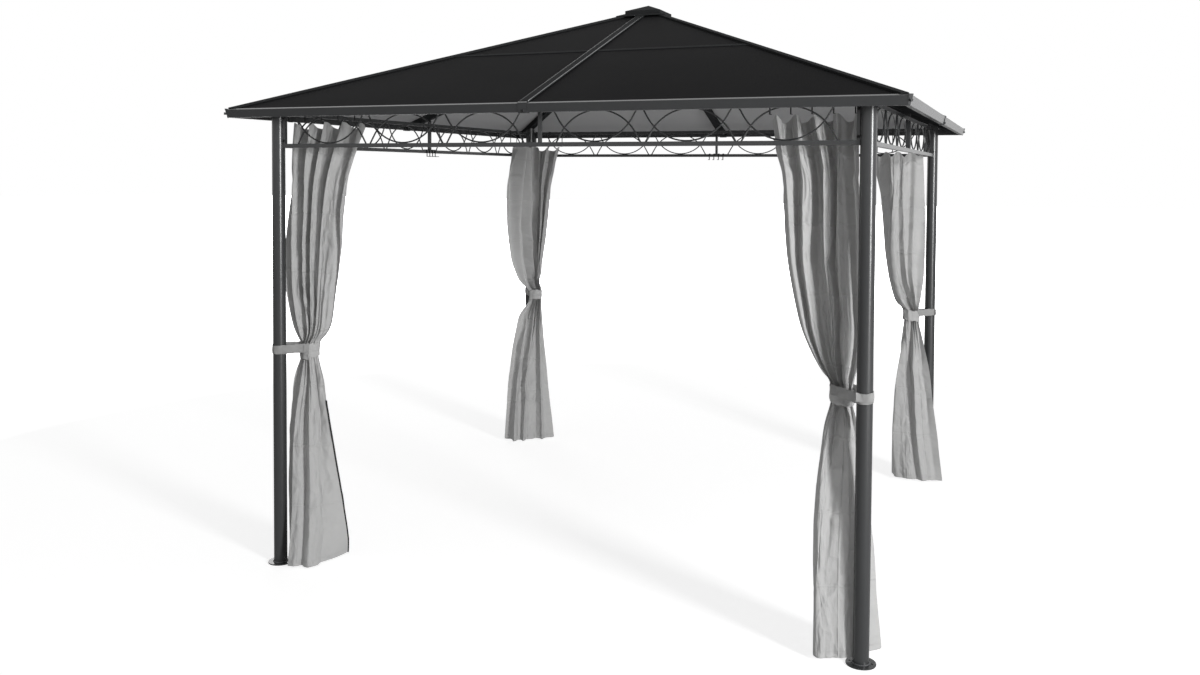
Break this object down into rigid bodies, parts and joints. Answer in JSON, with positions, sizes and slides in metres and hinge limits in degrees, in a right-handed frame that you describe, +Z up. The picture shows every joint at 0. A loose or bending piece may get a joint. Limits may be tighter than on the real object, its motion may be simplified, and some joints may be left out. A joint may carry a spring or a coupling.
{
  "type": "metal gazebo",
  "caption": "Square hardtop garden gazebo with round steel posts, scrollwork trusses, a hipped roof of dark plastic panels and curtains tied back to the posts.",
  "frame": {"origin": "on the ground at the middle of the four posts", "axes": "+Z up, the front along -Y, +X to the right seen from the front"},
  "size_m": [3, 3, 2.7],
  "materials": {
    "powder_coat": "satin anthracite powder coat on steel tube",
    "roof_sheet": "dark grey polycarbonate sheet",
    "curtain_cloth": "light grey woven polyester",
    "hook_plastic": "black moulded plastic"
  },
  "bodies": {
    "root": {"apex_hub": "powder_coat", "curtain_back_left": "curtain_cloth", "curtain_back_right": "curtain_cloth", "curtain_front_left": "curtain_cloth", "curtain_front_right": "curtain_cloth", "eave_beam_back": "powder_coat", "eave_beam_front": "powder_coat", "eave_beam_left": "powder_coat", "eave_beam_right": "powder_coat", "eave_corner_back_left": "powder_coat", "eave_corner_back_right": "powder_coat", "eave_corner_front_left": "powder_coat", "eave_corner_front_right": "powder_coat", "eave_joiners": "powder_coat", "hip_rafter_back_left": "powder_coat", "hip_rafter_back_right": "powder_coat", "hip_rafter_front_left": "powder_coat", "hip_rafter_front_right": "powder_coat", "post_back_left": "powder_coat", "post_back_right": "powder_coat", "post_front_left": "powder_coat", "post_front_right": "powder_coat", "purlin_back": "powder_coat", "purlin_front": "powder_coat", "purlin_left": "powder_coat", "purlin_right": "powder_coat", "rail_hooks": "hook_plastic", "roof_cap": "powder_coat", "roof_panels_back": "roof_sheet", "roof_panels_front": "roof_sheet", "roof_panels_left": "roof_sheet", "roof_panels_right": "roof_sheet", "side_rafter_back": "powder_coat", "side_rafter_front": "powder_coat", "side_rafter_left": "powder_coat", "side_rafter_right": "powder_coat", "tie_back_back_left": "curtain_cloth", "tie_back_back_right": "curtain_cloth", "tie_back_front_left": "curtain_cloth", "tie_back_front_right": "curtain_cloth", "truss_back": "powder_coat", "truss_front": "powder_coat", "truss_left": "powder_coat", "truss_right": "powder_coat"}
  },
  "joints": []
}
